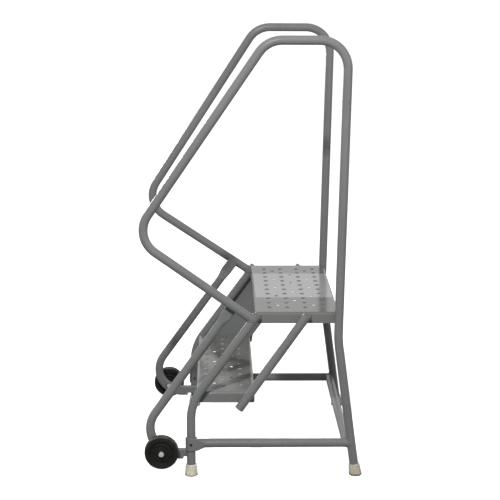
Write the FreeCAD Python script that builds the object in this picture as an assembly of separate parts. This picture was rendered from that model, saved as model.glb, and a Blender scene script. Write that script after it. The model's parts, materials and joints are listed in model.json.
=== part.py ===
"""Two-step rolling warehouse ladder: bent-tube frame, sheet-metal treads, tilt-and-roll wheels.

Millimetres, +Z up.  The ladder is climbed towards +X, left is +Y.  While it is being
built, X = 0 is the axis of the front legs; every node is moved at the end so that the
origin lies at the bottom centre of the whole ladder.
"""
import FreeCAD, Part
import math
import os
from FreeCAD import Vector

# Tube stock
TUBE_R = 13.5
WALL = 1.65
SADDLE_T = 4.0                    # thickness of a tube end pressed right down to a strap
SADDLE_WIDTH = SADDLE_T + math.pi * (TUBE_R - SADDLE_T / 2)
SADDLE_REACH = 46.0               # from the clasped tube's axis to the full round section
PRESS_T = 12.5                    # thickness of a tube end pressed about half way
ROUND_CORNER = math.radians(64)   # where an unpressed outline is split into its four arcs
BEND_R = 81.0

# Treads
TREAD_HALF_WIDTH = 304.8
TREAD_BACK = 194.0                # back edge of the step, front edge of the platform
PLATFORM_DEPTH = 254.0
STEP_DEPTH = 178.0
PLATFORM_Z = 514.0
STEP_Z = 263.0
STEP_GRID_SHIFT = -7.0            # its dimples and holes sit a little towards the front
APRON = 34.0
SHEET = 1.6
PAN_EDGE_R = 8.0
PITCH = 54.6                      # spacing of the raised dimples
DIMPLE_ROWS = 10                  # across the ladder
DIMPLE_R = 8.0
DIMPLE_H = 2.6
HOLE_R = 5.6

# Side frames, as points in the X-Z plane
FRAME_Y = TREAD_HALF_WIDTH + TUBE_R
REAR_FOOT = (505.6, 0.0)
KNEE = (445.0, 431.0)
RAIL_REAR = (458.0, 1326.0)
ARM_AIM = (186.6, 495.0)          # point that the lower arms are aimed at

# The side frames are bent by hand and differ by some millimetres: left is 1, right is -1
RAIL_FRONT = {1: (211.0, 1326.0), -1: (223.4, 1326.0)}
NOSE = {1: (-171.9, 733.2), -1: (-169.5, 747.9)}
STRINGER_BEND = {1: (0.0, 219.5), -1: (0.0, 230.5)}
STRINGER_TOP = {1: (207.5, 508.5), -1: (200.0, 508.5)}
BRACE_FOOT = {1: (154.4, 213.0), -1: (146.2, 213.0)}
BRACE_TOP = {1: (366.1, 508.5), -1: (350.8, 508.5)}
ARM_TOP_X = {1: 134.5, -1: 130.0}
KNEE_R = 300.0
STRINGER_BEND_R = 155.0
BASE_Z = 103.0
CROSS_X = 476.0
PLATE_BACK = 216.0                # back edge of the side plate
PLATE_TOE = (201.0, 320.0)        # X of its cut-back lower corner, Z where the cut starts

# Wheel arms and wheels
ARM_Y = TREAD_HALF_WIDTH - TUBE_R
ARM_CORNER = (-199.7, 62.0)
ARM_TAIL = (6.0, 62.0)
ARM_TAB = 74.0                    # length of the arm's top end that is not round
ARM_TAB_PRESS = 36.0              # part of it that narrows from round to pressed
HOOK_PRESS = (math.radians(163), math.radians(266))   # where the hook narrows likewise
TAIL_NOTCH_X = -24.0
TAIL_NOTCH_Z = 54.0
AXLE = (-90.0, 81.5)
WHEEL_R = 52.4
TYRE_WIDTH = 25.4
HUB_WIDTH = 28.6
TYRE_SHOULDER = 4.0               # width and height of the tyre's rounded edge
TYRE_CORNER = 1.2                 # the same edge's inner step
CORE_R = 39.0
CORE_DISH = 4.0                   # depth of the dished ring below the tyre's face
HUB_R = 16.0
BOLT_R = 4.76
SLEEVE_R = 7.95
RUN_CLEARANCE = 0.08
END_CLEARANCE = 0.4
WASHER_T = 1.6
WASHER_R = 10.0
SPACER_LENGTH = 13.6
NUT_FLATS = 14.3
NUT_H = 8.5
NUT_EDGE = 1.2                    # how far the nut's corners are rounded off
HEAD_H = 6.0
SEAT_DEPTH = 9.5                  # wheel arm thickness left under the bolt head

# Feet and rivets
TIP_TOP_R = 16.6
TIP_BASE_R = 21.0
TIP_HEIGHT = 36.0
TIP_EDGE_R = 1.5
TIP_FLOOR = 8.0
TIP_WASHER_T = 1.5
RIVET_R = 5.0
RIVET_BORE_R = 3.6
RIVET_FLANGE_R = 6.6
RIVET_FLANGE_T = 1.0

BEYOND = 400.0                    # length of a cutting tool that passes right through
SIDES = {"left": 1, "right": -1}
Y_AXIS = Vector(0, 1, 0)
Z_AXIS = Vector(0, 0, 1)


def unit(a, b):
    """Unit direction from one X-Z point to another."""
    dx, dz = b[0] - a[0], b[1] - a[1]
    length = math.hypot(dx, dz)
    return dx / length, dz / length


def along(point, direction, distance):
    return point[0] + direction[0] * distance, point[1] + direction[1] * distance


def at(point, y):
    return Vector(point[0], y, point[1])


def bend(before, corner, after, radius):
    """Start, middle and end of the arc that rounds a corner, as X-Z points."""
    incoming = unit(corner, before)
    outgoing = unit(corner, after)
    cosine = incoming[0] * outgoing[0] + incoming[1] * outgoing[1]
    half = math.acos(cosine) / 2
    tangent = radius / math.tan(half)
    inward = unit((0, 0), (incoming[0] + outgoing[0], incoming[1] + outgoing[1]))
    middle = along(corner, inward, radius / math.sin(half) - radius)
    return along(corner, incoming, tangent), middle, along(corner, outgoing, tangent)


def crossing(point, direction, other, other_direction):
    """Point where one X-Z line meets another."""
    gap = (other[0] - point[0], other[1] - point[1])
    turn = direction[0] * other_direction[1] - direction[1] * other_direction[0]
    distance = (gap[0] * other_direction[1] - gap[1] * other_direction[0]) / turn
    return along(point, direction, distance)


def route(points, radii, y):
    """Straight runs through X-Z points, joined by tangent arcs at the inner points."""
    edges = []
    last = at(points[0], y)
    for i, radius in enumerate(radii, start=1):
        start, middle, end = bend(points[i - 1], points[i], points[i + 1], radius)
        edges.append(Part.LineSegment(last, at(start, y)).toShape())
        edges.append(Part.Arc(at(start, y), at(middle, y), at(end, y)).toShape())
        last = at(end, y)
    edges.append(Part.LineSegment(last, at(points[-1], y)).toShape())
    return Part.Wire(edges)


def sweep(path, radius):
    first = path.OrderedEdges[0]
    start = first.valueAt(first.FirstParameter)
    heading = first.tangentAt(first.FirstParameter)
    ring = Part.Wire(Part.Circle(start, heading, radius).toShape())
    return path.makePipeShell([ring], True, True)


def tube(points, radii, y):
    path = route(points, radii, y)
    return sweep(path, TUBE_R).cut(sweep(path, TUBE_R - WALL))


def rod(start, end, radius):
    return Part.makeCylinder(radius, (end - start).Length, start, end - start)


def section(centre, across, thickness, inset):
    """Outline of the tube pressed to a thickness: two round sides joined by two flats.

    Its length stays that of the round tube.  On the unpressed tube the flats have no
    length, and two arcs of the circle take their place.
    """
    radius = thickness / 2 - inset
    flat = math.pi * (2 * TUBE_R - thickness) / 2
    unpressed = flat < 0.01
    corner = ROUND_CORNER if unpressed else math.pi / 2

    def spot(sign, angle):
        reach = sign * (flat / 2 + radius * math.cos(angle))
        return centre + across * reach + Y_AXIS * (radius * math.sin(angle))

    edges = []
    for sign in (1, -1):
        start, end = spot(sign, sign * corner), spot(sign, -sign * corner)
        following = spot(-sign, -sign * corner)
        edges.append(Part.Arc(start, spot(sign, 0.0), end).toShape())
        if unpressed:
            crown = centre - Y_AXIS * (sign * radius)
            edges.append(Part.Arc(end, crown, following).toShape())
        else:
            edges.append(Part.LineSegment(end, following).toShape())
    return Part.Wire(edges)


def ease(t):
    return t * t * (3 - 2 * t)


def pressed(stations, y, flat_y, flat_t):
    """Hollow loft from the round tube to its pressed section, and the last outline."""
    outer, inner = [], []
    for i, (point, heading) in enumerate(stations):
        share = ease(i / (len(stations) - 1))
        across = Vector(heading[1], 0, -heading[0])
        centre = at(point, y + (flat_y - y) * share)
        thickness = 2 * TUBE_R + (flat_t - 2 * TUBE_R) * share
        outer.append(section(centre, across, thickness, 0.0))
        inner.append(section(centre, across, thickness, WALL))
    shell = Part.makeLoft(outer, True, False).cut(Part.makeLoft(inner, True, False))
    return shell, outer[-1]


def straight_press(start, heading, reach, y, flat_y, flat_t):
    """Pressed end along a straight X-Z line, and its last outline."""
    steps = 6
    stations = [(along(start, heading, reach * i / steps), heading) for i in range(steps + 1)]
    return pressed(stations, y, flat_y, flat_t)


def saddle(side):
    """Tube end from +X pressed to a strap and clasped round an upright tube at the origin."""
    run = SADDLE_REACH - TUBE_R
    flat_y = side * (TUBE_R + SADDLE_T / 2)
    loft, last = straight_press((SADDLE_REACH, 0.0), (-1.0, 0.0), run, 0.0, flat_y, SADDLE_T)
    strap = Part.Face(last).extrude(Vector(-TUBE_R, 0, 0))
    low = Vector(0, 0, -SADDLE_WIDTH / 2)
    sleeve = Part.makeCylinder(TUBE_R + SADDLE_T, SADDLE_WIDTH, low, Z_AXIS)
    outer_half = Part.makeBox(80, 40, SADDLE_WIDTH, Vector(-40, side * 20 - 20, low.z))
    upright = Part.makeCylinder(TUBE_R, 2 * SADDLE_WIDTH, 2 * low, Z_AXIS)
    return loft.fuse([strap, sleeve.common(outer_half)]).cut(upright)


def stringer_slope(side):
    return unit(STRINGER_BEND[side], STRINGER_TOP[side])


def arm_end(side):
    """Where the handrail's lower arm meets the axis of the stringer."""
    nose = NOSE[side]
    return crossing(nose, unit(nose, ARM_AIM), STRINGER_BEND[side], stringer_slope(side))


def handrail(side):
    """Rear leg, post, top rail, sloping rail and lower arm, bent from one tube."""
    foot = along(REAR_FOOT, unit(REAR_FOOT, KNEE), TIP_FLOOR + TIP_WASHER_T)
    body = tube([foot, KNEE, RAIL_REAR, RAIL_FRONT[side], NOSE[side], arm_end(side)],
                [KNEE_R, BEND_R, BEND_R, BEND_R], side * FRAME_Y)
    return largest(body.cut(stringer_envelope(side)))


def stringer_envelope(side):
    """Solid envelope of the sloping part of the front stringer."""
    y = side * FRAME_Y
    return rod(at(STRINGER_BEND[side], y), at(STRINGER_TOP[side], y), TUBE_R)


def front_stringer(side):
    """Upright front leg that bends back and slopes up to the platform."""
    body = tube([(0, TIP_FLOOR + TIP_WASHER_T), STRINGER_BEND[side], STRINGER_TOP[side]],
                [STRINGER_BEND_R], side * FRAME_Y)
    return body.cut(rivet_hole(side))


def rivet_hole(side):
    return rod(Vector(0, 0, BASE_Z), Vector(0, side * BEYOND, BASE_Z), RIVET_R)


def rear_leg_solid(side):
    """Solid envelope of the rear leg, used to cope the tubes that meet it."""
    return rod(at(REAR_FOOT, side * FRAME_Y), at(KNEE, side * FRAME_Y), TUBE_R)


def largest(shape):
    return max(shape.Solids, key=lambda solid: solid.Volume)


def base_tube(side):
    """Level tube from the rear leg to a saddle clasped round the front leg."""
    y = side * FRAME_Y
    front, rear = Vector(SADDLE_REACH, y, BASE_Z), Vector(REAR_FOOT[0], y, BASE_Z)
    body = rod(front, rear, TUBE_R).cut(rod(front, rear, TUBE_R - WALL))
    clasp = saddle(side)
    clasp.translate(Vector(0, y, BASE_Z))
    body = body.fuse(clasp).cut(rear_leg_solid(side)).cut(rivet_hole(side))
    return largest(body.removeSplitter())


def rear_cross_tube():
    """Tube between the two rear corners, coped to the base tubes and rear legs."""
    ends = [Vector(CROSS_X, side * FRAME_Y, BASE_Z) for side in (-1, 1)]
    shape = rod(ends[0], ends[1], TUBE_R).cut(rod(ends[0], ends[1], TUBE_R - WALL))
    for side in SIDES.values():
        y = side * FRAME_Y
        base = rod(Vector(0, y, BASE_Z), Vector(REAR_FOOT[0], y, BASE_Z), TUBE_R)
        shape = shape.cut(base).cut(rear_leg_solid(side))
    return largest(shape)


def step_brace(side):
    """Brace from the platform apron down past the back corner of the step."""
    return tube([BRACE_FOOT[side], BRACE_TOP[side]], [], side * FRAME_Y)


def plate(corners, y, thickness):
    """Flat plate with X-Z corners, from y inwards or outwards by a signed thickness."""
    points = [at(corner, y) for corner in corners]
    return Part.Face(Part.makePolygon(points + points[:1])).extrude(Y_AXIS * thickness)


def spoke(centre, angle):
    """X-Z point of the wheel arm's hooked bend at an angle round its centre."""
    return along(centre, (math.cos(angle), math.sin(angle)), BEND_R)


def arm_tab(round_top, slope, y, flat_y):
    """Top end of the wheel arm, from round to a pressed tab against the step's end."""
    taper, outline = straight_press(round_top, slope, ARM_TAB_PRESS, y, flat_y, PRESS_T)
    rest = (ARM_TAB - ARM_TAB_PRESS) * Vector(slope[0], 0, slope[1])
    return [taper, Part.Face(outline).extrude(rest)]


def arm_hook(centre, y, flat_y):
    """Hooked bend of the wheel arm that narrows towards its level, notched tail."""
    steps = 10
    stations = []
    for i in range(steps + 1):
        angle = HOOK_PRESS[0] + (HOOK_PRESS[1] - HOOK_PRESS[0]) * i / steps
        stations.append((spoke(centre, angle), (-math.sin(angle), math.cos(angle))))
    hook, outline = pressed(stations, y, flat_y, PRESS_T)
    tail = Part.Face(outline).extrude(at(ARM_TAIL, 0) - at(spoke(centre, HOOK_PRESS[1]), 0))
    notch = Part.makeBox(60, 2 * TUBE_R, 60,
                         Vector(TAIL_NOTCH_X, y - TUBE_R, TAIL_NOTCH_Z - 60))
    return [hook, tail.cut(notch)]


def arm_top(side):
    """Top end of the wheel arm, on the axis of the handrail's lower arm."""
    nose = NOSE[side]
    slope = unit(nose, ARM_AIM)
    return along(nose, slope, (ARM_TOP_X[side] - nose[0]) / slope[0])


def wheel_arm(side):
    """J-shaped arm: pressed top tab, round tube, and a hooked bend pressed towards its tail."""
    y = side * ARM_Y
    outer = side * TREAD_HALF_WIDTH
    flat_y = outer - side * PRESS_T / 2
    top = arm_top(side)
    bend_start, middle, end = bend(top, ARM_CORNER, ARM_TAIL, BEND_R)
    centre = (end[0], end[1] + BEND_R)
    slope = unit(bend_start, top)
    round_top = along(top, slope, -ARM_TAB)
    first_angle = math.atan2(bend_start[1] - centre[1], bend_start[0] - centre[0])
    middle = spoke(centre, (first_angle + HOOK_PRESS[0]) / 2)
    path = Part.Wire([
        Part.LineSegment(at(round_top, y), at(bend_start, y)).toShape(),
        Part.Arc(at(bend_start, y), at(middle, y), at(spoke(centre, HOOK_PRESS[0]), y)).toShape()])
    body = sweep(path, TUBE_R).cut(sweep(path, TUBE_R - WALL))
    body = body.fuse(arm_tab(round_top, slope, y, flat_y) + arm_hook(centre, y, flat_y))
    bolt_hole = rod(at(AXLE, 0), at(AXLE, side * BEYOND), BOLT_R + RUN_CLEARANCE)
    seat = rod(at(AXLE, outer - side * 40), at(AXLE, outer - side * SEAT_DEPTH), WASHER_R)
    return body.cut(bolt_hole).cut(seat).removeSplitter()


def rounded_box(low, size, radius):
    """Box with its top edges and upright corners rounded."""
    box = Part.makeBox(size[0], size[1], size[2], low)
    top = low.z + size[2]
    picked = []
    for edge in box.Edges:
        zs = [vertex.Z for vertex in edge.Vertexes]
        if max(zs) - min(zs) > size[2] / 2 or min(zs) > top - 0.001:
            picked.append(edge)
    return box.makeFillet(radius, picked)


def cap(centre_x, centre_y, base_z):
    """Spherical cap of one raised dimple standing on a level plane."""
    radius = (DIMPLE_R ** 2 + DIMPLE_H ** 2) / (2 * DIMPLE_H)
    ball = Part.makeSphere(radius, Vector(centre_x, centre_y, base_z + DIMPLE_H - radius))
    trim = Part.makeCylinder(DIMPLE_R + 1, DIMPLE_H + 0.4, Vector(centre_x, centre_y, base_z - 0.4))
    return ball.common(trim)


def spread(middle, count):
    """Evenly spaced positions, one pitch apart, about a middle."""
    return [middle + PITCH * (i - (count - 1) / 2) for i in range(count)]


def tread(front, depth, top, dimple_columns, grid_shift):
    """Pan-shaped tread with raised dimples, and drain holes staggered between them."""
    half = TREAD_HALF_WIDTH
    outer = rounded_box(Vector(front, -half, top - APRON), (depth, 2 * half, APRON), PAN_EDGE_R)
    inner = rounded_box(Vector(front + SHEET, SHEET - half, top - APRON - 1),
                        (depth - 2 * SHEET, 2 * (half - SHEET), APRON + 1 - SHEET),
                        PAN_EDGE_R - SHEET)
    middle = front + depth / 2 + grid_shift
    dimples = [(x, y) for x in spread(middle, dimple_columns) for y in spread(0, DIMPLE_ROWS)]
    domes = [cap(x, y, top) for x, y in dimples]
    hollows = [cap(x, y, top - SHEET) for x, y in dimples]
    holes = []
    for column, x in enumerate(spread(middle, dimple_columns - 1)):
        for y in spread(0, DIMPLE_ROWS - 1)[column % 2::2]:
            holes.append(Part.makeCylinder(HOLE_R, 4 * SHEET, Vector(x, y, top - 2 * SHEET)))
    return outer.fuse(domes).cut(inner).cut(hollows + holes).removeSplitter()


def side_plate(side):
    """Flat plate outside one stringer that closes the gap between the treads."""
    slope = stringer_slope(side)
    bottom = STEP_Z - APRON
    head = along(arm_end(side), slope, -TUBE_R - 8)
    corners = [along(STRINGER_BEND[side], slope, 12.0), head, (PLATE_BACK, head[1]),
               (PLATE_BACK, PLATE_TOE[1]), (PLATE_TOE[0], bottom), (8.0, bottom)]
    return plate(corners, side * (FRAME_Y + TUBE_R), side * SHEET)


def foot_tip(foot, heading, y):
    """Rubber crutch tip on a tube end, cut level where it stands on the floor."""
    axis = Vector(heading[0], 0, heading[1])
    start = at(foot, y) - axis * TIP_FLOOR
    flare = (TIP_BASE_R - TIP_TOP_R) / TIP_HEIGHT * TIP_FLOOR
    cone = Part.makeCone(TIP_BASE_R + flare, TIP_TOP_R, TIP_HEIGHT + TIP_FLOOR, start, axis)
    above_floor = Part.makeBox(120, 120, 80, Vector(foot[0] - 60, y - 60, 0))
    body = cone.common(above_floor)
    body = body.makeFillet(TIP_EDGE_R, [edge for edge in body.Edges if edge.Closed])
    bore_start = at(foot, y) + axis * TIP_FLOOR
    return body.cut(Part.makeCylinder(TUBE_R, TIP_HEIGHT + 10, bore_start, axis))


def tip_washer(foot, heading, y):
    axis = Vector(heading[0], 0, heading[1])
    start = at(foot, y) + axis * TIP_FLOOR
    return Part.makeCylinder(TUBE_R, TIP_WASHER_T, start, axis)


def rivet(side):
    """Hollow rivet through the saddle and the front leg."""
    y = side * FRAME_Y
    inner_face = y - side * TUBE_R
    outer_face = y + side * (TUBE_R + SADDLE_T)
    start = Vector(0, inner_face - side * RIVET_FLANGE_T, BASE_Z)
    end = Vector(0, outer_face + side * RIVET_FLANGE_T, BASE_Z)
    flange = Y_AXIS * (side * RIVET_FLANGE_T)
    body = rod(start, end, RIVET_R)
    body = body.fuse([rod(start, start + flange, RIVET_FLANGE_R),
                      rod(end - flange, end, RIVET_FLANGE_R)])
    return body.cut(rod(start, end, RIVET_BORE_R))


def ring(side, y_from, y_to, radius, bore):
    start, end = at(AXLE, side * y_from), at(AXLE, side * y_to)
    return rod(start, end, radius).cut(rod(start, end, bore))


def hexagon(side, y_from, y_to):
    """Hexagonal prism on the axle's line, with its outer corners rounded off."""
    corner = NUT_FLATS / 2 / math.cos(math.pi / 6)
    points = [at(along(AXLE, (math.cos(math.pi / 3 * k), math.sin(math.pi / 3 * k)), corner),
                 side * y_from) for k in range(7)]
    body = Part.Face(Part.makePolygon(points)).extrude(Y_AXIS * (side * (y_to - y_from)))
    start, end = at(AXLE, side * y_from), at(AXLE, side * y_to)
    depth = 3 * NUT_EDGE
    shoulder = end - Y_AXIS * (side * depth)
    face_r = 1.03 * NUT_FLATS / 2
    cone = Part.makeCone(face_r + depth, face_r, depth, shoulder, Y_AXIS * side)
    return body.common(cone.fuse(rod(start, shoulder, 2 * face_r)))


# Stations of the axle stack, measured outwards from the middle of the ladder
SPACER_FROM = TREAD_HALF_WIDTH + WASHER_T
HUB_WASHER_FROM = SPACER_FROM + SPACER_LENGTH
SLEEVE_FROM = HUB_WASHER_FROM + WASHER_T
SLEEVE_TO = SLEEVE_FROM + HUB_WIDTH + 2 * END_CLEARANCE
NUT_FROM = SLEEVE_TO + WASHER_T
BOLT_END = NUT_FROM + NUT_H + 1.5
HEAD_SEAT = TREAD_HALF_WIDTH - SEAT_DEPTH
WHEEL_Y = (SLEEVE_FROM + SLEEVE_TO) / 2


def axle_bolt(side):
    head = hexagon(-side, -HEAD_SEAT, HEAD_H - HEAD_SEAT)
    return head.fuse(rod(at(AXLE, side * HEAD_SEAT), at(AXLE, side * BOLT_END), BOLT_R))


def axle_nut(side):
    start, end = at(AXLE, side * NUT_FROM), at(AXLE, side * (NUT_FROM + NUT_H))
    return hexagon(side, NUT_FROM, NUT_FROM + NUT_H).cut(rod(start, end, BOLT_R))


def axle_washers(side):
    return [ring(side, start, start + WASHER_T, WASHER_R, BOLT_R + RUN_CLEARANCE)
            for start in (TREAD_HALF_WIDTH, HUB_WASHER_FROM, SLEEVE_TO)]


def revolve_about_axle(side, outline):
    """Solid of revolution from (radius, distance from the wheel's middle) points."""
    points = [Vector(AXLE[0] + r, side * (WHEEL_Y + w), AXLE[1]) for r, w in outline]
    face = Part.Face(Part.makePolygon(points + points[:1]))
    return face.revolve(at(AXLE, 0), Y_AXIS, 360)


def wheel_tyre(side):
    half = TYRE_WIDTH / 2
    shoulder, corner = TYRE_SHOULDER, TYRE_CORNER
    outer = [(WHEEL_R - shoulder, half), (WHEEL_R - corner, half - corner),
             (WHEEL_R, half - shoulder)]
    outline = [(CORE_R, -half)] + [(r, -w) for r, w in outer] + outer[::-1] + [(CORE_R, half)]
    return revolve_about_axle(side, outline)


def wheel_core(side):
    """Hub and web, with a dished ring on both faces."""
    bore = SLEEVE_R + RUN_CLEARANCE
    hub, rim = HUB_WIDTH / 2, TYRE_WIDTH / 2
    dish = rim - CORE_DISH
    half = [(bore, hub), (HUB_R - 1, hub), (HUB_R, hub - 1), (HUB_R + 2, dish),
            (CORE_R - 6, dish), (CORE_R - 4, rim), (CORE_R, rim)]
    return revolve_about_axle(side, half + [(r, -w) for r, w in reversed(half)])


def build():
    """All nodes by name, before they are moved to the final origin."""
    nodes = {}
    rear_heading = unit(REAR_FOOT, KNEE)
    feet = {"front": ((0.0, 0.0), (0.0, 1.0)), "rear": (REAR_FOOT, rear_heading)}
    for name, side in SIDES.items():
        nodes["handrail_" + name] = handrail(side)
        nodes["front_stringer_" + name] = front_stringer(side)
        nodes["base_tube_" + name] = base_tube(side)
        nodes["step_brace_" + name] = step_brace(side)
        nodes["wheel_arm_" + name] = wheel_arm(side)
        nodes["wheel_tyre_" + name] = wheel_tyre(side)
        nodes["wheel_core_" + name] = wheel_core(side)
        nodes["axle_sleeve_" + name] = ring(side, SLEEVE_FROM, SLEEVE_TO, SLEEVE_R,
                                            BOLT_R + RUN_CLEARANCE)
        for end, (foot, heading) in feet.items():
            nodes["foot_tip_" + end + "_" + name] = foot_tip(foot, heading, side * FRAME_Y)
    nodes["rear_cross_tube"] = rear_cross_tube()
    nodes["platform_tread"] = tread(TREAD_BACK, PLATFORM_DEPTH, PLATFORM_Z, 4, 0.0)
    nodes["step_tread"] = tread(TREAD_BACK - STEP_DEPTH, STEP_DEPTH, STEP_Z, 3, STEP_GRID_SHIFT)
    nodes["side_plate_left"] = side_plate(SIDES["left"])
    both = SIDES.values()
    groups = {
        "tip_washers": [tip_washer(foot, heading, side * FRAME_Y)
                        for foot, heading in feet.values() for side in both],
        "base_rivets": [rivet(side) for side in both],
        "axle_bolts": [axle_bolt(side) for side in both],
        "axle_nuts": [axle_nut(side) for side in both],
        "axle_spacers": [ring(side, SPACER_FROM, HUB_WASHER_FROM, SLEEVE_R,
                              BOLT_R + RUN_CLEARANCE) for side in both],
        "axle_washers": [washer for side in both for washer in axle_washers(side)],
    }
    for name, solids in groups.items():
        nodes[name] = Part.makeCompound(solids)
    return nodes


def main():
    nodes = build()
    whole = Part.makeCompound(list(nodes.values())).optimalBoundingBox(False)
    shift = Vector(-(whole.XMin + whole.XMax) / 2, 0, 0)
    print("moved along X by %.3f, size %.1f x %.1f x %.1f, lowest %.3f"
          % (shift.x, whole.XLength, whole.YLength, whole.ZLength, whole.ZMin))
    os.makedirs("parts", exist_ok=True)
    for name, shape in nodes.items():
        shape.translate(shift)
        print("%-26s solids %d  valid %s  volume %.0f"
              % (name, len(shape.Solids), shape.isValid(), shape.Volume))
        shape.exportStep("parts/" + name + ".step")


main()
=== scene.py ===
"""Looks of a rolling warehouse ladder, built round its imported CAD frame.

Metres, +Z up, +X the way a person climbs, as in the frame.  X positions of the ladder's
own points are counted from the axis of its front legs.
"""
import bpy
import json
import math
from mathutils import Matrix, Vector
from mathutils.geometry import intersect_line_line


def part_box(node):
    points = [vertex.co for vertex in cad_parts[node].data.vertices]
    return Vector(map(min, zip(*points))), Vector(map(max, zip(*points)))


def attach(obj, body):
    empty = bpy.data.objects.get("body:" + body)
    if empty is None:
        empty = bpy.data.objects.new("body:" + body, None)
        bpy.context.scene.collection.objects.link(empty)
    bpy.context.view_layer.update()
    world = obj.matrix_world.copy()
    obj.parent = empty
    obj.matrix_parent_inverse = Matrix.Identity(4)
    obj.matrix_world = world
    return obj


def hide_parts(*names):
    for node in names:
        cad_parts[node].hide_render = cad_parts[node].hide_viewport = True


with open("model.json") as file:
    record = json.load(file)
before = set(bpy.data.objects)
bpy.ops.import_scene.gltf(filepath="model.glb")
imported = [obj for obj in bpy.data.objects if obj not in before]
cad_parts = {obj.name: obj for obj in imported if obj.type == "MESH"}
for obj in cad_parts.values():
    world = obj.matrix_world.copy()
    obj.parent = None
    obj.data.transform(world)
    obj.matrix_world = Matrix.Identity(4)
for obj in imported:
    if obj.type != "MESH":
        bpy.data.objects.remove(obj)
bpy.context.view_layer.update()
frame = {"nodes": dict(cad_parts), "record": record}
nodes = frame["nodes"]
SIDES = {"left": 1, "right": -1}

# ---------------------------------------------------------------- driving sizes
TUBE_R = 0.0135
DIMPLE_H = 0.0026
RIVET_BORE_R = 0.0036


def middle_of(node):
    low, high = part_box(node)
    return (Vector(low) + Vector(high)) / 2


FOOT = middle_of("foot_tip_front_left")
LEG_X, FRAME_Y = FOOT.x, FOOT.y                   # axis of the front legs, plane of a side frame
TREADS = {"platform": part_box("platform_tread"), "step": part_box("step_tread")}
PLATFORM_LOW, PLATFORM_HIGH = TREADS["platform"]
STEP_TOP = TREADS["step"][1].z                    # crowns of the step's dimples
APRON = PLATFORM_HIGH.z - DIMPLE_H - PLATFORM_LOW.z
APRON_Y = PLATFORM_HIGH.y                         # outer face of the treads' aprons
BASE_Z = middle_of("base_rivets").z
CROSS_X = middle_of("rear_cross_tube").x - LEG_X
AXLE = middle_of("axle_nuts")
TYRE_LOW, TYRE_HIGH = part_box("wheel_tyre_left")
WHEEL_R = (TYRE_HIGH.x - TYRE_LOW.x) / 2

# Points of the side frames, as (X from the front legs, Z); left is 1, right is -1
ARM_AIM = (0.1866, 0.495)
NOSE = {1: (-0.1719, 0.7332), -1: (-0.1695, 0.7479)}
STRINGER_BEND = {1: (0.0, 0.2195), -1: (0.0, 0.2305)}
STRINGER_TOP = {1: (0.2075, 0.5085), -1: (0.2, 0.5085)}
BRACE_FOOT = {1: (0.1544, 0.213), -1: (0.1462, 0.213)}
BRACE_TOP = {1: (0.3661, 0.5085), -1: (0.3508, 0.5085)}
REAR_FOOT = (0.5056, 0.0)
KNEE = (0.445, 0.431)
RAIL_REAR = (0.458, 1.326)


# ---------------------------------------------------------------- shader graphs
class Paint:
    """A Principled material with short calls for the nodes that feed it."""

    def __init__(self, name, **fixed):
        self.material = bpy.data.materials.new(name)
        self.material.use_nodes = True
        self.tree = self.material.node_tree
        self.shader = self.tree.nodes["Principled BSDF"]
        for socket, value in fixed.items():
            self.shader.inputs[socket.replace("_", " ")].default_value = value

    def put(self, socket, value):
        if isinstance(value, bpy.types.NodeSocket):
            self.tree.links.new(value, socket)
        else:
            socket.default_value = value

    def node(self, kind, inputs=(), **settings):
        made = self.tree.nodes.new(kind)
        for key, value in settings.items():
            setattr(made, key, value)
        for key, value in dict(inputs).items():
            self.put(made.inputs[key], value)
        return made

    def place(self):
        return self.node("ShaderNodeTexCoord").outputs["Object"]

    def stretched(self, scale, turn=(0, 0, 0)):
        made = self.node("ShaderNodeMapping", {"Vector": self.place(), "Scale": scale,
                                               "Rotation": turn})
        return made.outputs[0]

    def noise(self, scale, detail=3.0, rough=0.55, vector=None):
        made = self.node("ShaderNodeTexNoise", {
            "Vector": self.place() if vector is None else vector,
            "Scale": scale, "Detail": detail, "Roughness": rough})
        return made.outputs["Fac"]

    def ramp(self, value, low, high, out_low=0.0, out_high=1.0):
        made = self.node("ShaderNodeMapRange", {
            "Value": value, "From Min": low, "From Max": high,
            "To Min": out_low, "To Max": out_high})
        return made.outputs["Result"]

    def math(self, operation, a, b=0.0):
        made = self.node("ShaderNodeMath", operation=operation)
        self.put(made.inputs[0], a)
        self.put(made.inputs[1], b)
        return made.outputs[0]

    def times(self, *factors):
        result = factors[0]
        for factor in factors[1:]:
            result = self.math("MULTIPLY", result, factor)
        return result

    def mix(self, share, a, b):
        made = self.node("ShaderNodeMix", data_type="RGBA")
        self.put(made.inputs["Factor"], share)
        self.put(made.inputs[6], a)
        self.put(made.inputs[7], b)
        return made.outputs[2]

    def split(self, vector):
        return self.node("ShaderNodeSeparateXYZ", {"Vector": vector}).outputs

    def normal(self):
        return self.node("ShaderNodeNewGeometry").outputs["Normal"]

    def radius(self, centre, across):
        """Distance from a line through a centre; across keeps the two axes that count."""
        offset = self.node("ShaderNodeVectorMath", {0: self.place(), 1: tuple(centre)},
                           operation="SUBTRACT").outputs[0]
        flat = self.node("ShaderNodeVectorMath", {0: offset, 1: across},
                         operation="MULTIPLY").outputs[0]
        return self.node("ShaderNodeVectorMath", {0: flat}, operation="LENGTH").outputs["Value"]

    def edges(self, radius):
        """1 along sharp edges, 0 on flat or gently curved faces."""
        bevel = self.node("ShaderNodeBevel", {"Radius": radius}, samples=4)
        dot = self.node("ShaderNodeVectorMath", {0: bevel.outputs[0], 1: self.normal()},
                        operation="DOT_PRODUCT")
        return self.ramp(dot.outputs["Value"], 0.995, 0.90)

    def bump(self, height, distance, strength=1.0):
        made = self.node("ShaderNodeBump", {"Height": height, "Distance": distance,
                                            "Strength": strength})
        return made.outputs[0]

    def finish(self, **links):
        for socket, value in links.items():
            self.put(self.shader.inputs[socket.replace("_", " ")], value)
        return self.material


def grey(value, tint=(1.0, 1.0, 1.0)):
    return tuple(value * t for t in tint) + (1.0,)


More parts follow.
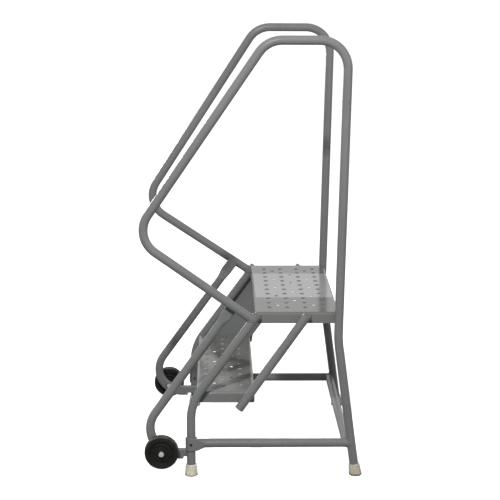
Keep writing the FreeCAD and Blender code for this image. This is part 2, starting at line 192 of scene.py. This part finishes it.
# ---------------------------------------------------------------- materials
COOL = (0.985, 1.0, 1.0)
OLIVE = (1.0, 1.01, 0.92)
BARE_STEEL = grey(0.42, (1.0, 0.98, 0.95))
DUST = (0.30, 0.29, 0.26, 1.0)


def enamel(name, tone, rough, wear=0.35, recolour=None):
    """Grey machine enamel: orange peel, soft blotches, scuffs, rubbed edges, settled dust."""
    p = Paint(name, Specular_IOR_Level=0.5)
    blotch = p.ramp(p.noise(5.0, 3.0), 0.35, 0.65)
    base = p.mix(blotch, grey(tone * 0.94, COOL), grey(tone * 1.06, COOL))
    if recolour:
        base = recolour(p, base)
    speck = p.ramp(p.noise(900.0, 2.0), 0.62, 0.75, 0.0, 0.3)
    base = p.mix(speck, base, grey(tone * 1.35, COOL))
    scratch = p.noise(60.0, 4.0, 0.6, p.stretched((1.0, 1.0, 14.0), (0.4, 0.9, 0.2)))
    scuff = p.times(p.ramp(scratch, 0.66, 0.72), p.ramp(p.noise(7.0, 2.0), 0.52, 0.66), 0.5)
    base = p.mix(scuff, base, grey(tone * 1.7, COOL))
    rubbed = p.times(p.edges(0.0012), p.ramp(p.noise(140.0, 4.0, 0.7), 0.40, 0.60), wear)
    base = p.mix(rubbed, base, BARE_STEEL)
    up = p.ramp(p.split(p.normal())["Z"], 0.55, 1.0)
    settled = p.times(up, p.ramp(p.noise(30.0, 5.0, 0.65), 0.45, 0.75), 0.5)
    base = p.mix(p.times(settled, 0.3), base, DUST)
    shine = p.ramp(p.noise(14.0, 3.0), 0.3, 0.7, rough - 0.03, rough + 0.05)
    shine = p.math("ADD", shine, p.times(settled, 0.10))
    peel = p.bump(p.noise(420.0, 2.0, 0.5), 0.00005, 0.6)
    return p.finish(Base_Color=base, Roughness=shine, Normal=peel)


def olive_skin(p, base, tone):
    """A tread's level skin has yellowed a little."""
    level = p.times(p.ramp(p.split(p.normal())["Z"], 0.5, 0.95), 0.85)
    return p.mix(level, base, grey(tone, OLIVE))


def step_skin(p, base):
    """The step's skin is yellowed, with a painted highlight on the crowns of its dimples."""
    height = p.split(p.place())["Z"]
    # Painted highlight: the crowns of the dimples are made pale.
    painted_crown_highlight = p.times(p.ramp(height, STEP_TOP - 0.0012, STEP_TOP - 0.0004),
                    p.ramp(p.noise(240.0, 3.0), 0.35, 0.6), 0.8)
    return p.mix(painted_crown_highlight, olive_skin(p, base, 0.140), grey(0.50, (1.0, 1.0, 0.97)))


def platform_skin(p, base):
    """The platform's skin is yellowed, with a painted reflection that makes it paler across its
    middle.
    """
    waver = p.ramp(p.noise(25.0, 3.0), 0.3, 0.7, -0.004, 0.004)
    across = p.math("ADD", p.split(p.place())["Y"], waver)
    # Painted reflection: the level middle of the platform's skin is made paler.
    middle = p.times(p.ramp(across, -0.134, -0.120), p.ramp(across, 0.188, 0.174),
                     p.ramp(p.split(p.normal())["Z"], 0.97, 0.995))
    return p.mix(middle, olive_skin(p, base, 0.105), grey(0.27, (1.0, 1.0, 1.01)))


def rivet_steel():
    """Rivet painted with the frame outside, with painted shade, near black, down its bore and round
    its mouth.
    """
    p = Paint("rivet_painted", Specular_IOR_Level=0.2)
    line = (LEG_X, 0.0, BASE_Z)
    # Painted shade: the bore and a ring round its mouth are made near black.
    bore = p.ramp(p.radius(line, (1.0, 0.0, 1.0)), RIVET_BORE_R + 0.001, RIVET_BORE_R + 0.0005)
    coat = p.mix(p.ramp(p.noise(60.0, 3.0), 0.35, 0.65), grey(0.14), grey(0.17))
    base = p.mix(bore, coat, grey(0.002))
    shine = p.ramp(p.noise(90.0, 3.0), 0.3, 0.7, 0.3, 0.5)
    return p.finish(Base_Color=base, Roughness=shine, Normal=p.bump(p.noise(700.0, 2.0), 0.00004))


def plated(name, tone, rough, tint=(1.0, 1.0, 1.0), haze=0.0):
    """Bare or plated steel with turning marks; haze is the share dulled by white bloom."""
    p = Paint(name, Metallic=1.0 - haze)
    turned = p.noise(500.0, 2.0, 0.5, p.stretched((1.0, 0.1, 1.0)))
    base = p.mix(p.ramp(turned, 0.35, 0.65), grey(tone * 0.86, tint), grey(tone, tint))
    return p.finish(Base_Color=base, Roughness=p.ramp(turned, 0.3, 0.7, rough, rough + 0.15),
                    Normal=p.bump(turned, 0.00003))


def wheel_plastic(name, tone, rough):
    """Black moulded polyolefin: fine turning rings round the axle, greenish haze, a scuffed running
    face.
    """
    p = Paint(name, Specular_IOR_Level=0.30)
    distance = p.radius((AXLE.x, 0.0, AXLE.z), (1.0, 0.0, 1.0))
    wobble = p.noise(55.0, 3.0)
    rings = p.math("SINE", p.math("ADD", p.times(distance, 5200.0), p.times(wobble, 5.0)))
    haze = p.ramp(p.noise(38.0, 4.0, 0.65), 0.35, 0.68)
    base = p.mix(haze, grey(tone * 0.75, (1.0, 1.0, 0.9)), grey(tone * 1.3, (1.0, 1.0, 0.82)))
    running_face = p.ramp(distance, WHEEL_R - 0.0039, WHEEL_R - 0.0019)
    scuffed = p.times(running_face, p.ramp(p.noise(75.0, 4.0), 0.35, 0.6), 0.7)
    base = p.mix(scuffed, base, grey(0.095, (1.0, 1.0, 0.92)))
    shine = p.ramp(p.noise(120.0, 3.0), 0.3, 0.7, rough, rough + 0.16)
    relief = p.math("ADD", p.times(rings, 0.25), p.noise(900.0, 3.0))
    return p.finish(Base_Color=base, Roughness=shine, Normal=p.bump(relief, 0.00006))


def tip_rubber():
    """Pale crutch-tip rubber: yellowed blotches, painted shade low down by the floor, the rear tips
    darker.
    """
    p = Paint("tip_rubber", Specular_IOR_Level=0.35, Subsurface_Weight=0.08,
              Subsurface_Scale=0.004)
    rear = p.ramp(p.split(p.place())["X"], LEG_X + 0.2, LEG_X + 0.3)
    pale = p.mix(rear, (0.62, 0.58, 0.49, 1.0), (0.45, 0.42, 0.35, 1.0))
    stained = p.mix(rear, (0.46, 0.41, 0.32, 1.0), (0.40, 0.36, 0.28, 1.0))
    base = p.mix(p.ramp(p.noise(70.0, 5.0, 0.65), 0.42, 0.66), pale, stained)
    waver = p.ramp(p.noise(160.0, 3.0), 0.3, 0.7, -0.002, 0.002)
    height = p.math("ADD", p.split(p.place())["Z"], waver)
    # Painted shade: the lowest millimetres go near black, more on the rear tips.
    painted_floor_shade = p.times(p.ramp(height, 0.009, 0.002), p.ramp(rear, 0.0, 1.0, 0.45, 0.9))
    base = p.mix(painted_floor_shade, base, (0.05, 0.047, 0.035, 1.0))
    shine = p.ramp(p.noise(90.0, 3.0), 0.3, 0.7, 0.48, 0.68)
    return p.finish(Base_Color=base, Roughness=shine, Normal=p.bump(p.noise(600.0, 4.0), 0.00008))


materials = {
    "frame": enamel("frame_enamel", 0.148, 0.28),
    "treads": enamel("tread_enamel", 0.145, 0.15, wear=0.25, recolour=step_skin),
    "panels": enamel("panel_enamel", 0.140, 0.34),
    "zinc": plated("zinc_plate", 0.97, 0.20, (0.99, 1.0, 1.0), haze=0.35),
    "sleeve": plated("turned_steel", 0.5, 0.3, (1.0, 0.97, 0.93)),
    "wheel_tread": wheel_plastic("tyre_black", 0.013, 0.42),
    "wheel_core": wheel_plastic("core_black", 0.010, 0.40),
    "foot_rubber": tip_rubber(),
    "rivet_steel": rivet_steel(),
}
black_oxide = plated("washer_oxide", 0.09, 0.45, (1.0, 0.98, 0.95))
platform_enamel = enamel("platform_enamel", 0.145, 0.13, wear=0.25, recolour=platform_skin)

slot_of = {row["node"]: row["material_slot"] for row in frame["record"]["subparts"]}
special = {"platform_tread": platform_enamel, "axle_washers": black_oxide}
for name, node in nodes.items():
    node.data.materials.clear()
    node.data.materials.append(special.get(name, materials[slot_of[name]]))


# ---------------------------------------------------------------- mesh pieces
def piece(name, verts, faces, body, slot):
    mesh = bpy.data.meshes.new(name)
    mesh.from_pydata(verts, [], faces)
    mesh.validate()
    mesh.shade_smooth()
    made = bpy.data.objects.new(name, mesh)
    bpy.context.scene.collection.objects.link(made)
    mesh.materials.append(materials[slot])
    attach(made, body)
    return made


def stitch(rings, closed):
    """Quads between successive rings of vertices, each ring itself closed."""
    per_ring = len(rings[0])
    faces = []
    for i in range(len(rings) if closed else len(rings) - 1):
        here, there = i * per_ring, (i + 1) % len(rings) * per_ring
        for j in range(per_ring):
            k = (j + 1) % per_ring
            faces.append((here + j, here + k, there + k, there + j))
    if not closed:
        faces.append(tuple(reversed(range(per_ring))))
        faces.append(tuple(range((len(rings) - 1) * per_ring, len(rings) * per_ring)))
    return faces


def lathe(profile, centre, axis, segments):
    """Copies of a closed (radius, offset) profile, turned in steps round a level axis."""
    across = Vector((0, 0, 1))
    other = axis.cross(across)
    rings = []
    for i in range(segments):
        angle = 2 * math.pi * i / segments
        spoke = across * math.cos(angle) + other * math.sin(angle)
        rings.append([centre + spoke * r + axis * h for r, h in profile])
    return rings


def flat(rings):
    return [vertex for ring in rings for vertex in ring]


def frame_point(point, y):
    return Vector((LEG_X + point[0], y, point[1]))


# ---------------------------------------------------------------- weld beads
BEAD_R = 0.0023
APRON_BEAD_R = 0.0031
BEAD_SIDES = 8
RIPPLE = 0.0021
RIPPLE_STEPS = 4                  # path points in one ripple
BESIDE_TUBE = 0.0098              # from a tube's axis to the bead in its corner with an apron
OFF_APRON = 0.003
APRON_CORNER = 0.007              # an apron's flat ends this far inside the tread's box
COPE_POINTS = 64
BASE_END = (0.40, 0.48)           # X of two points on the base tube, ahead of the rear leg


def resampled(points, closed, step):
    """Points at even steps along a polyline."""
    line = points + points[:1] if closed else points
    lengths = [(b - a).length for a, b in zip(line, line[1:])]
    count = max(8, round(sum(lengths) / step))
    wanted = [sum(lengths) * i / count for i in range(count if closed else count + 1)]
    result, leg, passed = [], 0, 0.0
    for target in wanted:
        while leg < len(lengths) - 1 and passed + lengths[leg] < target:
            passed += lengths[leg]
            leg += 1
        share = min(1.0, (target - passed) / max(lengths[leg], 1e-9))
        result.append(line[leg].lerp(line[leg + 1], share))
    return result


def weld(name, points, away, closed, radius=BEAD_R):
    """Rippled bead along a path; away is a point off the path, on the joint's inside."""
    path = resampled(points, closed, RIPPLE / RIPPLE_STEPS)
    count = len(path)
    rings = []
    for i, point in enumerate(path):
        before = path[i - 1] if closed or i else point
        after = path[(i + 1) % count] if closed or i < count - 1 else point
        tangent = (after - before).normalized()
        out = (point - away).normalized()
        out = (out - tangent * out.dot(tangent)).normalized()
        side = tangent.cross(out)
        ripple = abs(math.sin(math.pi * i / RIPPLE_STEPS))
        scale = 0.86 + 0.2 * ripple + 0.06 * math.sin(i * 0.37)
        if not closed:
            end = abs(2 * i / (count - 1) - 1)
            scale *= math.sqrt(max(0.02, 1 - end ** 12))
        rings.append([point + (out * math.cos(a) + side * math.sin(a)) * radius * scale
                      for a in (2 * math.pi * k / BEAD_SIDES for k in range(BEAD_SIDES))])
    return piece(name, flat(rings), stitch(rings, closed), "ladder", "frame")


def coped_path(start, axis, targets):
    """Where a tube from start along axis first meets any of the target tubes."""
    across = Vector((0, 0, 1)) if abs(axis.z) < 0.9 else Vector((1, 0, 0))
    across = (across - axis * across.dot(axis)).normalized()
    other = axis.cross(across)
    path = []
    for k in range(COPE_POINTS):
        angle = 2 * math.pi * k / COPE_POINTS
        origin = start + (across * math.cos(angle) + other * math.sin(angle)) * TUBE_R
        hits = []
        for point, direction in targets:
            gap = origin - point
            gap = gap - direction * gap.dot(direction)
            run = axis - direction * axis.dot(direction)
            a, b, c = run.dot(run), gap.dot(run), gap.dot(gap) - TUBE_R ** 2
            inside = b * b - a * c
            if inside >= -1e-9:
                hits.append((-b - math.sqrt(max(0.0, inside))) / a)
        if hits:
            path.append(origin + axis * min(hits))
    return path


def coped_weld(name, start, end, targets):
    axis = (end - start).normalized()
    path = coped_path(start, axis, targets)
    middle = sum(path, Vector()) / len(path)
    return weld(name, path, middle + axis * 0.02, True)


def axis_line(start, end, y):
    """A point and the direction of a tube's axis."""
    point = frame_point(start, y)
    return point, (frame_point(end, y) - point).normalized()


def apron_weld(name, foot, top, side, offset, tread):
    """Bead beside a sloping tube, as far as it lies against the flat of a tread's apron."""
    low, high = TREADS[tread]
    point, direction = axis_line(foot, top, side * (APRON_Y + OFF_APRON))
    inward = Vector((direction.z, 0, -direction.x)) * offset
    start = point + inward
    skin_z = high.z - DIMPLE_H
    enters = [(skin_z - APRON + 0.001 - start.z) / direction.z,
              (low.x + APRON_CORNER - start.x) / direction.x]
    leaves = [(skin_z - APRON_CORNER - start.z) / direction.z,
              (high.x - APRON_CORNER - start.x) / direction.x]
    first, last = max(enters), min(leaves)
    if last - first > 0.005:
        ends = [start + direction * first, start + direction * last]
        away = (ends[0] + ends[1]) / 2 - inward * 3
        weld("%s_%s" % (name, tread), ends, away, False, APRON_BEAD_R)


def frame_welds():
    for name, side in SIDES.items():
        y = side * FRAME_Y
        stringer = axis_line(STRINGER_BEND[side], STRINGER_TOP[side], y)
        leg = axis_line(REAR_FOOT, KNEE, y)
        base = (frame_point((0.0, BASE_Z), y), Vector((1, 0, 0)))
        nose = frame_point(NOSE[side], y)
        arm_end = intersect_line_line(
            nose, frame_point(ARM_AIM, y),
            frame_point(STRINGER_BEND[side], y), frame_point(STRINGER_TOP[side], y))[0]
        coped_weld("weld_arm_" + name, arm_end.lerp(nose, 0.2), arm_end, [stringer])
        coped_weld("weld_base_" + name, frame_point((BASE_END[0], BASE_Z), y),
                   frame_point((BASE_END[1], BASE_Z), y), [leg])
        coped_weld("weld_cross_" + name, frame_point((CROSS_X, BASE_Z), y * 0.8),
                   frame_point((CROSS_X, BASE_Z), y), [base, leg])
        brace = (BRACE_FOOT[side], BRACE_TOP[side], side)
        for mark, offset in (("a", -BESIDE_TUBE), ("b", BESIDE_TUBE)):
            for tread in TREADS:
                apron_weld("weld_brace_%s_%s" % (name, mark), *brace, offset, tread)
        apron_weld("weld_stringer_" + name, STRINGER_BEND[side], STRINGER_TOP[side], side,
                   BESIDE_TUBE, "platform")
        apron_weld("weld_post_" + name, KNEE, RAIL_REAR, side, -BESIDE_TUBE, "platform")


# ---------------------------------------------------------------- foot tips
TIP_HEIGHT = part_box("foot_tip_front_left")[1].z
TIP_BASE_R = FOOT.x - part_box("foot_tip_front_left")[0].x - 0.0002
TIP_TOP_R = 0.79 * TIP_BASE_R
TIP_MOUTH = 0.006                                 # how far the wall is shown turned inwards
FLUTES = 9
FLUTE_DEPTH = 0.0017
FLUTE_TOP = 0.91                                  # share of the height where the collar starts
FLUTE_FADE = 0.16
FOOT_GROOVE = 0.0011                              # extra depth of the flutes at the floor
TIP_SIDES = FLUTES * 8
# (share of the tip's height, share of the radius there)
TIP_LEVELS = ((-0.16, 0.97), (-0.08, 0.99), (0.0, 1.0), (0.03, 1.0), (0.08, 1.0), (0.16, 1.0),
              (0.32, 1.0), (0.53, 1.0), (0.71, 1.0), (0.82, 1.0), (0.88, 1.0), (0.955, 0.995),
              (0.985, 0.97), (1.0, 0.93))


def circle(centre, axis, reach_at):
    """Ring of points round a tip's axis; reach_at gives the radius at an angle."""
    across = Vector((0, 1, 0))
    other = axis.cross(across)
    angles = [2 * math.pi * k / TIP_SIDES for k in range(TIP_SIDES)]
    return [centre + (across * math.cos(a) + other * math.sin(a)) * reach_at(a) for a in angles]


def foot_tip(node, foot, axis):
    """Crutch tip with broad soft flutes, a plain collar and a rounded foot."""
    rings = []
    for share, swell in TIP_LEVELS:
        up = max(0.0, share)
        radius = (TIP_BASE_R + (TIP_TOP_R - TIP_BASE_R) * up ** 0.85) * swell
        radius += 0.0006 * math.sin(math.pi * min(1.0, up * 1.3))
        depth = FLUTE_DEPTH * min(1.0, max(0.0, (FLUTE_TOP - share) / FLUTE_FADE))
        if share <= 0.03:
            depth += FOOT_GROOVE

        def reach(angle, radius=radius, depth=depth):
            return radius - depth * (0.5 + 0.5 * math.cos(FLUTES * angle)) ** 3

        rings.append(circle(foot + axis * (share * TIP_HEIGHT), axis, reach))
    for drop in (0.0, TIP_MOUTH):
        rings.append(circle(foot + axis * (TIP_HEIGHT - drop), axis,
                            lambda angle: TUBE_R - 0.0002))
    verts = [Vector((v.x, v.y, max(0.0, v.z))) for v in flat(rings)]
    made = piece("rubber_" + node, verts, stitch(rings, False), "ladder", "foot_rubber")
    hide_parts(node)


def foot_tips():
    for name, side in SIDES.items():
        y = side * FRAME_Y
        foot_tip("foot_tip_front_" + name, frame_point((0.0, 0.0), y), Vector((0, 0, 1)))
        foot_tip("foot_tip_rear_" + name, *axis_line(REAR_FOOT, KNEE, y))


# ---------------------------------------------------------------- wheels
HUB_BORE_R = 0.00803
MARKS = 6
MARK_RING_R = 0.0292


def arc(centre, radius, start, end, steps):
    """(radius, offset) points of an arc, angles in degrees from the radial direction."""
    points = []
    for i in range(steps + 1):
        angle = math.radians(start + (end - start) * i / steps)
        points.append((centre[0] + radius * math.cos(angle), centre[1] + radius * math.sin(angle)))
    return points


def mirrored(half):
    """Closed profile from the outer face's half and its mirror image."""
    return half + [(r, -h) for r, h in reversed(half)]


def tyre_profile(core_r, face):
    """Tyre from its seat on the core out: flat side with a groove, shoulder, running face."""
    groove = core_r + 0.0054
    tyre = [(core_r, face - 0.0010), (core_r + 0.0006, face - 0.0003), (core_r + 0.0016, face),
            (groove, face), (groove + 0.0006, face - 0.0004), (groove + 0.0012, face - 0.0004),
            (groove + 0.0018, face)]
    tyre += arc((WHEEL_R - 0.0042, face - 0.0038), 0.0038, 80, 8, 7)
    tyre += [(WHEEL_R - 0.0001, face - 0.0060), (WHEEL_R - 0.0009, face - 0.0066),
             (WHEEL_R - 0.0009, face - 0.0074), (WHEEL_R - 0.0001, face - 0.0080),
             (WHEEL_R, 0.0015)]
    return tyre


def core_profile(core_r, face, hub_half, dish):
    """Core from its bore out: hub, dished web with a raised ring, rim."""
    core = [(HUB_BORE_R, hub_half - 0.0008), (HUB_BORE_R + 0.0008, hub_half)]
    core += arc((0.0144, hub_half - 0.0014), 0.0014, 90, 0, 4)
    core += arc((0.0182, dish + 0.0022), 0.0022, 190, 265, 4)
    core += [(0.0222, dish), (0.0228, dish + 0.0006), (0.0236, dish + 0.0009),
             (0.0250, dish + 0.0009), (0.0258, dish + 0.0006), (0.0264, dish)]
    core += [(core_r - 0.0062, dish)]
    core += arc((core_r - 0.0058, dish + 0.0020), 0.0020, 280, 350, 4)
    core += [(core_r - 0.0030, face - 0.0006), (core_r - 0.0022, face), (core_r - 0.0012, face),
             (core_r, face - 0.0010)]
    return core


def wheels():
    core_low, core_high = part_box("wheel_core_left")
    core_r, hub_half = (core_high.x - core_low.x) / 2, (core_high.y - core_low.y) / 2
    face = (TYRE_HIGH.y - TYRE_LOW.y) / 2
    dish = face - 0.0042
    wheel_y = (TYRE_LOW.y + TYRE_HIGH.y) / 2
    tyre = tyre_profile(core_r, face)
    core = core_profile(core_r, face, hub_half, dish)
    for name, side in SIDES.items():
        centre = Vector((AXLE.x, side * wheel_y, AXLE.z))
        axis = Vector((0, side, 0))
        body = "wheel_" + name
        for part, half, segments in (("tyre", tyre, 128), ("core", core, 96)):
            rings = lathe(mirrored(half), centre, axis, segments)
            made = piece("moulded_%s_%s" % (part, name), flat(rings), stitch(rings, True),
                         body, "wheel_tread" if part == "tyre" else "wheel_core")
            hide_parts("wheel_%s_%s" % (part, name))
        mould_marks(name, centre, axis, dish, body)


def mould_marks(name, centre, axis, dish, body):
    """Shallow round ejector marks about the web of a wheel."""
    verts, faces = [], []
    for k in range(MARKS):
        angle = 2 * math.pi / MARKS * (k + 0.5)
        spot = centre + Vector((math.cos(angle), 0, math.sin(angle))) * MARK_RING_R
        rings = lathe([(0.0001, dish + 0.0007), (0.0014, dish + 0.0007), (0.0018, dish + 0.0004),
                       (0.0021, dish - 0.0006)], spot, axis, 16)
        base = len(verts)
        verts += flat(rings)
        faces += [tuple(base + v for v in quad) for quad in stitch(rings, True)]
    piece("mould_marks_" + name, verts, faces, body, "wheel_core")


frame_welds()
foot_tips()
wheels()


# ---------------------------------------------------------------- stage
KEY_PLACE = (-0.62, -2.94, 2.99)
KEY_AIM = (0.05, -0.25, 0.7)
FLOOR_HALF = 150.0
EYE = (LEG_X + 0.0806, -4.127, 1.5817)
EYE_YAW, EYE_PITCH, EYE_ROLL = math.radians(1.45), math.radians(12.89), math.radians(0.32)


def area_lamp(name, where, aim, size, power, glossy=True):
    light = bpy.data.lights.new(name, "AREA")
    light.size = size
    light.energy = power
    lamp = bpy.data.objects.new(name, light)
    lamp.location = where
    lamp.rotation_euler = (Vector(aim) - Vector(where)).to_track_quat("-Z", "Y").to_euler()
    lamp.visible_camera = False
    lamp.visible_glossy = glossy
    bpy.context.scene.collection.objects.link(lamp)


def sky():
    """Studio surround: brightest low down on the side away from the camera, dim above."""
    world = bpy.data.worlds.new("studio")
    world.use_nodes = True
    bpy.context.scene.world = world
    tree = world.node_tree
    heading = tree.nodes.new("ShaderNodeTexCoord").outputs["Generated"]
    height = tree.nodes.new("ShaderNodeSeparateXYZ")
    tree.links.new(heading, height.inputs[0])
    lift = tree.nodes.new("ShaderNodeMapRange")
    tree.links.new(height.outputs["Z"], lift.inputs["Value"])
    lift.inputs["From Min"].default_value = -1.0
    bands = tree.nodes.new("ShaderNodeValToRGB")
    tree.links.new(lift.outputs["Result"], bands.inputs["Fac"])
    levels = [(0.0, 0.46), (0.47, 0.50), (0.53, 0.90), (0.62, 0.92), (0.74, 0.66), (1.0, 0.48)]
    ramp = bands.color_ramp
    while len(ramp.elements) < len(levels):
        ramp.elements.new(0.5)
    for element, (position, value) in zip(ramp.elements, levels):
        element.position = position
        element.color = (value, value, value, 1.0)
    toward = tree.nodes.new("ShaderNodeVectorMath")
    toward.operation = "DOT_PRODUCT"
    tree.links.new(heading, toward.inputs[0])
    toward.inputs[1].default_value = (0.25, 0.97, 0.0)
    turn = tree.nodes.new("ShaderNodeMapRange")
    tree.links.new(toward.outputs["Value"], turn.inputs["Value"])
    for socket, value in (("From Min", -1.0), ("From Max", 1.0),
                          ("To Min", 0.30), ("To Max", 1.05)):
        turn.inputs[socket].default_value = value
    tree.links.new(bands.outputs["Color"], tree.nodes["Background"].inputs["Color"])
    tree.links.new(turn.outputs["Result"], tree.nodes["Background"].inputs["Strength"])


def floor():
    corners = [(x * FLOOR_HALF, y * FLOOR_HALF, 0) for x, y in ((-1, -1), (1, -1), (1, 1), (-1, 1))]
    mesh = bpy.data.meshes.new("floor")
    mesh.from_pydata(corners, [], [(0, 1, 2, 3)])
    made = bpy.data.objects.new("floor", mesh)
    bpy.context.scene.collection.objects.link(made)
    p = Paint("pale_floor", Roughness=0.9, Specular_IOR_Level=0.1,
              Emission_Color=(1.0, 1.0, 1.0, 1.0), Emission_Strength=0.75)
    mottled = p.mix(p.ramp(p.noise(2.0, 2.0), 0.3, 0.7), grey(0.84), grey(0.86))
    mesh.materials.append(p.finish(Base_Color=mottled))
    made.visible_diffuse = False
    made.visible_glossy = False


def camera():
    made = bpy.data.cameras.new("camera")
    made.lens = 94.92
    made.sensor_width = 36.0
    made.clip_end = 500.0
    eye = bpy.data.objects.new("camera", made)
    turn = (Matrix.Rotation(-EYE_YAW, 4, "Z") @ Matrix.Rotation(math.pi / 2 - EYE_PITCH, 4, "X")
            @ Matrix.Rotation(EYE_ROLL, 4, "Z"))
    eye.matrix_world = Matrix.Translation(EYE) @ turn
    bpy.context.scene.collection.objects.link(eye)
    bpy.context.scene.camera = eye


bpy.context.scene.view_settings.view_transform = "Standard"
sky()
area_lamp("key", KEY_PLACE, KEY_AIM, 0.2, 128.0, glossy=False)
area_lamp("sheen", KEY_PLACE, KEY_AIM, 1.1, 30.0)
area_lamp("rim", (-1.8, 2.9, 1.2), (0.1, -0.3, 0.4), 0.6, 25.0)
area_lamp("fill", (2.4, -3.0, 1.3), (0.0, 0.0, 0.6), 2.0, 14.0)
floor()
camera()
